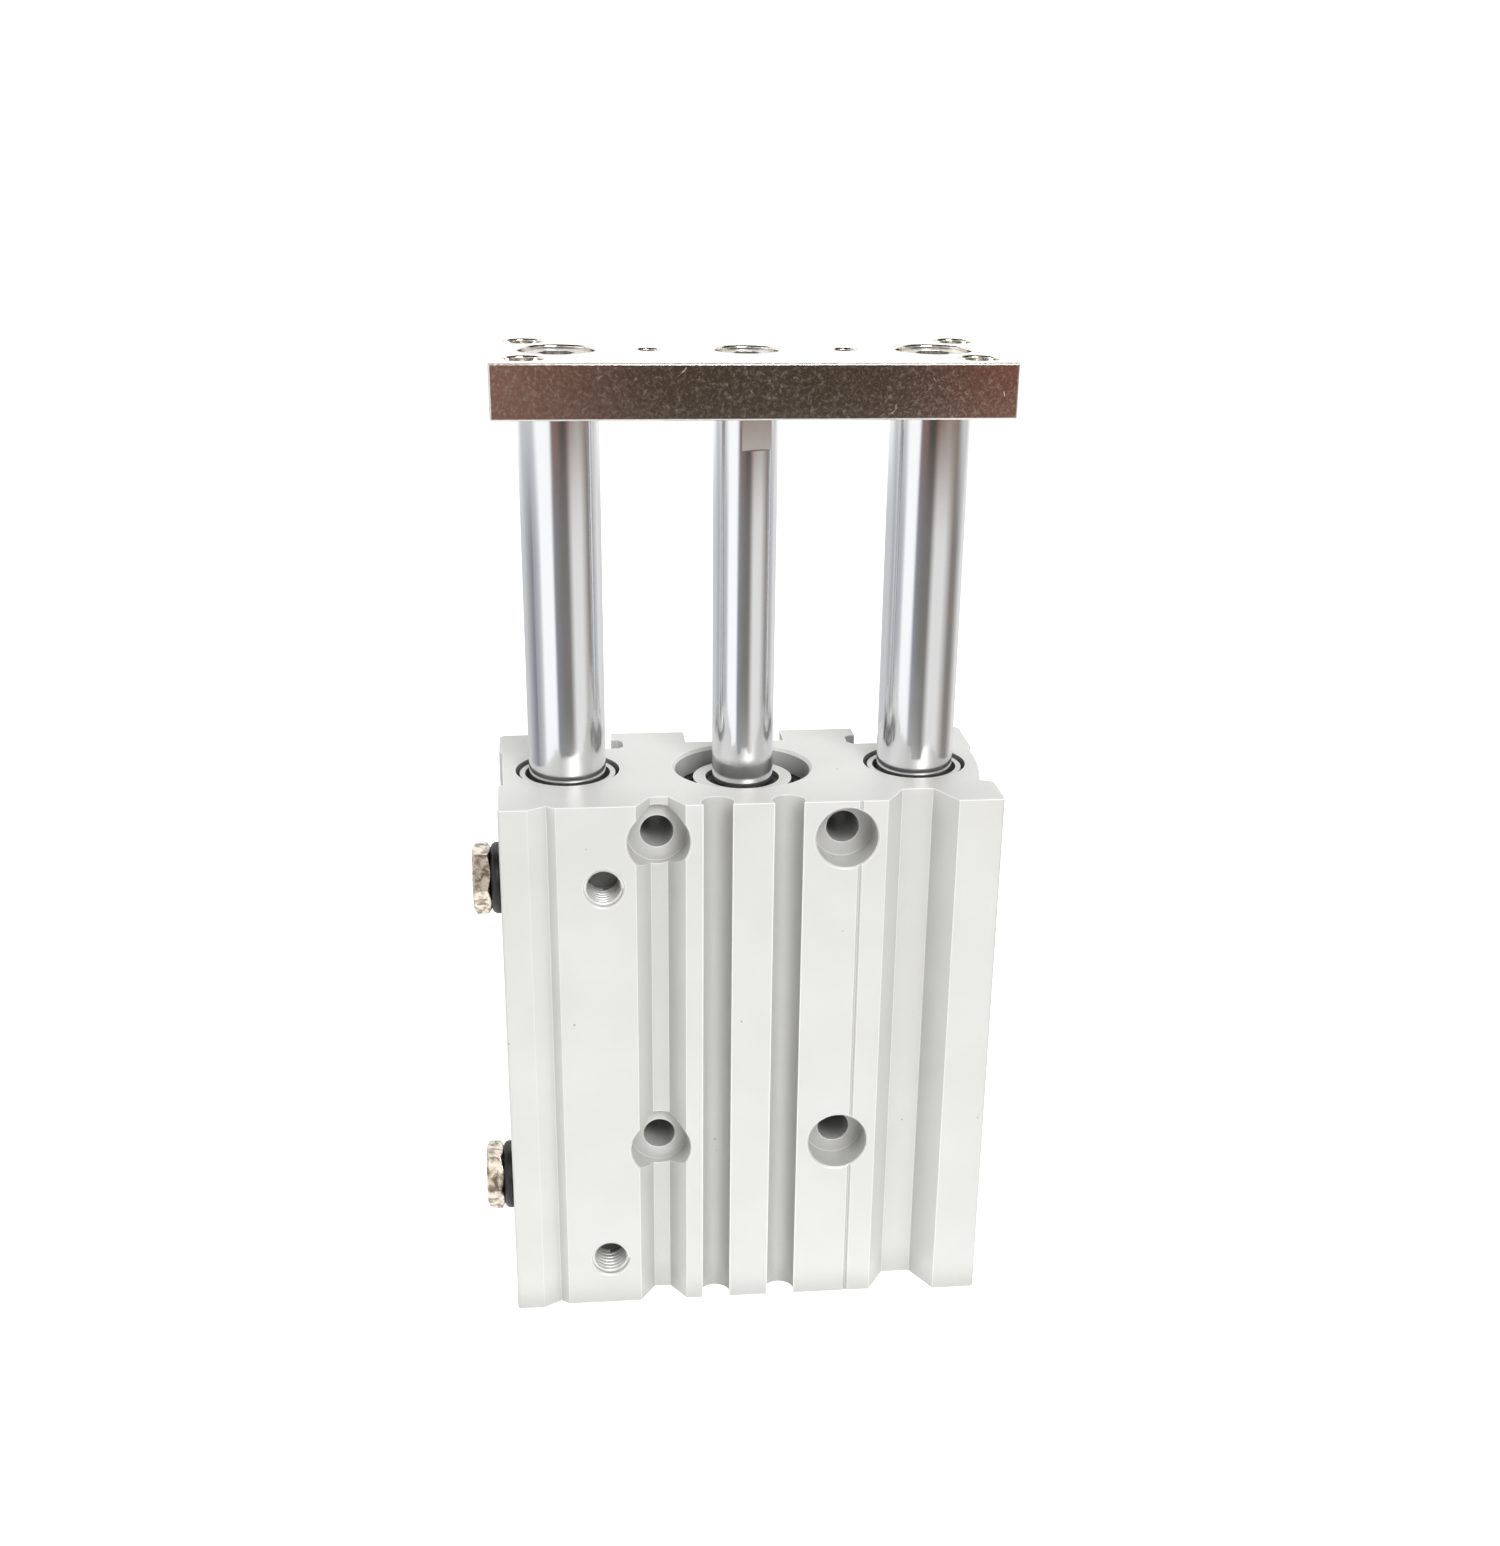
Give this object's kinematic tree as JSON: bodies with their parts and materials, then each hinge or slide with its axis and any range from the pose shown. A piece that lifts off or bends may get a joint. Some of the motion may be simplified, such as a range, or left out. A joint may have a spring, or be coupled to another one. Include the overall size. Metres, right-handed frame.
{
  "type": "guided pneumatic cylinder",
  "caption": "Compact pneumatic cylinder with an extruded aluminium body, parallel guide rods and an end plate that slides out along the body's axis.",
  "frame": {"origin": "centre of the body's base, on the axis of the piston rod", "axes": "+Z the way the slide runs out, -Y the front face with the two open air ports, +X to the right seen from the front"},
  "size_m": [0.0675, 0.0306, 0.126],
  "materials": {
    "anodised_aluminium": "clear anodised, matt",
    "cover_aluminium": "turned and clear anodised",
    "rubber": "moulded nitrile rubber, matt",
    "bumper_rubber": "moulded rubber, matt",
    "spring_steel": "phosphated spring steel",
    "plated_steel": "ground steel, nickel plated",
    "chromed_rod": "hard chromed and ground",
    "screw_steel": "steel, zinc plated",
    "magnet": "bonded magnet",
    "plug_nickel": "brass, nickel plated",
    "bearing_metal": "steel-backed plain bearing, light grey",
    "felt": "oiled felt"
  },
  "bodies": {
    "cylinder": {"cylinder_body": "anodised_aluminium", "collar": "cover_aluminium", "head_cover": "cover_aluminium", "rod_seal": "rubber", "collar_gasket": "rubber", "head_cover_gasket": "rubber", "collar_retaining_ring": "spring_steel", "head_cover_retaining_ring": "spring_steel", "port_plug_upper": "plug_nickel", "port_plug_lower": "plug_nickel", "plug_washer_upper": "rubber", "plug_washer_lower": "rubber", "guide_bush_upper_left": "bearing_metal", "guide_bush_lower_left": "bearing_metal", "lubrication_felt_left": "felt", "guide_bush_upper_right": "bearing_metal", "guide_bush_lower_right": "bearing_metal", "lubrication_felt_right": "felt"},
    "slide": {"end_plate": "plated_steel", "guide_rod_left": "chromed_rod", "guide_rod_right": "chromed_rod", "piston_rod": "chromed_rod", "piston": "cover_aluminium", "piston_seal": "rubber", "piston_magnet": "magnet", "bumper_rod_side": "bumper_rubber", "bumper_head_side": "bumper_rubber", "guide_rod_screw_left": "screw_steel", "guide_rod_screw_right": "screw_steel", "piston_rod_screw": "screw_steel"}
  },
  "joints": [
    {"name": "stroke", "type": "slide", "parent": "cylinder", "child": "slide", "axis": [0, 0, 1], "range_m": [-0.04, 0]}
  ]
}
